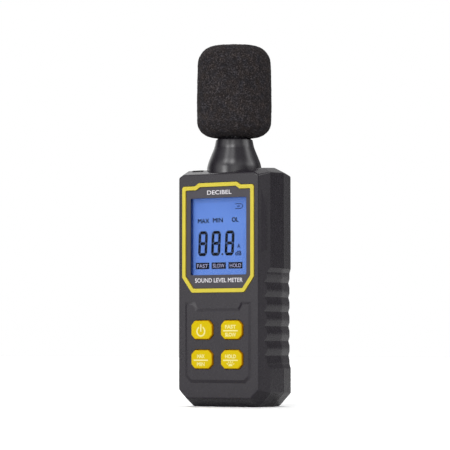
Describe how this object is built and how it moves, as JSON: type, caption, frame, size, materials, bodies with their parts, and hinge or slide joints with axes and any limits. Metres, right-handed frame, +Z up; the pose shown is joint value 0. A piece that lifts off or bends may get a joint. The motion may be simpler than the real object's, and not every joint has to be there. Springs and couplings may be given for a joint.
{
  "type": "sound level meter",
  "caption": "Hand-held sound level meter with a foam windscreen on a cone nose, a blue display in a yellow surround, yellow keys and ribbed side grips.",
  "frame": {"origin": "on the ground plane under the middle of the meter, on the microphone's axis", "axes": "+Z up along the microphone's axis, -Y out of the display, +X to the right as seen from the front"},
  "size_m": [0.0556, 0.0408, 0.1956],
  "materials": {
    "case": "fine satin texture, dark grey ABS",
    "bezel": "smooth satin grey",
    "trim": "smooth yellow",
    "keys": "smooth yellow with cream legends",
    "foam": "open-cell black foam",
    "black_rubber": "matte",
    "key_mat": "matte silicone",
    "window": "clear acrylic",
    "lcd": "blue backlit liquid-crystal panel",
    "light_guide": "white diffusing plastic",
    "board": "green solder mask",
    "chip": "moulded epoxy",
    "trimmer": "blue moulded plastic",
    "steel": "nickel-plated steel",
    "brass": "turned brass",
    "cell": "printed shrink wrap",
    "red_wire": "PVC insulation",
    "black_wire": "PVC insulation"
  },
  "bodies": {
    "meter": {"front_case": "case", "rear_case": "case", "nose_cone": "case", "display_bezel": "bezel", "display_trim": "trim", "microphone_gasket": "black_rubber", "elastomer_strip": "black_rubber", "key_mat": "key_mat", "display_lens": "window", "lcd_panel": "lcd", "lcd_backlight": "light_guide", "lcd_frame": "light_guide", "main_board": "board", "processor_chip": "chip", "amplifier_chip": "chip", "calibration_trimmer": "trimmer", "microphone_tube": "steel", "microphone_capsule": "steel", "microphone_grid": "steel", "smoothing_capacitor": "steel", "case_screw_1": "steel", "case_screw_2": "steel", "case_screw_3": "steel", "case_screw_4": "steel", "board_screw_1": "steel", "board_screw_2": "steel", "contact_plate_1": "steel", "contact_plate_2": "steel", "contact_plate_3": "steel", "contact_spring_1": "steel", "contact_spring_2": "steel", "contact_spring_3": "steel", "tripod_insert": "brass", "battery_1": "cell", "battery_2": "cell", "battery_3": "cell", "microphone_signal_lead": "red_wire", "microphone_ground_lead": "black_wire"},
    "windscreen": {"foam_windscreen": "foam"},
    "plug": {"calibration_plug": "black_rubber"},
    "power_key": {"power_button": "keys"},
    "fast_slow_key": {"fast_slow_button": "keys"},
    "max_min_key": {"max_min_button": "keys"},
    "hold_light_key": {"hold_light_button": "keys"},
    "door": {"battery_door": "case"}
  },
  "joints": [
    {"name": "windscreen_slide", "type": "slide", "parent": "meter", "child": "windscreen", "axis": [0, 0, 1], "range_m": [0, 0.05]},
    {"name": "plug_slide", "type": "slide", "parent": "meter", "child": "plug", "axis": [0, 0, 1], "range_m": [0, 0.006]},
    {"name": "power_press", "type": "slide", "parent": "meter", "child": "power_key", "axis": [0, 1, 0], "range_m": [0, 0.001], "stiffness_N_per_m": 600, "springref_m": -0.0005},
    {"name": "fast_slow_press", "type": "slide", "parent": "meter", "child": "fast_slow_key", "axis": [0, 1, 0], "range_m": [0, 0.001], "stiffness_N_per_m": 600, "springref_m": -0.0005},
    {"name": "max_min_press", "type": "slide", "parent": "meter", "child": "max_min_key", "axis": [0, 1, 0], "range_m": [0, 0.001], "stiffness_N_per_m": 600, "springref_m": -0.0005},
    {"name": "hold_light_press", "type": "slide", "parent": "meter", "child": "hold_light_key", "axis": [0, 1, 0], "range_m": [0, 0.001], "stiffness_N_per_m": 600, "springref_m": -0.0005},
    {"name": "door_hinge", "type": "hinge", "parent": "meter", "child": "door", "pos_m": [0, 0.017, 0.015], "axis": [-1, 0, 0], "range_deg": [0, 80]}
  ]
}
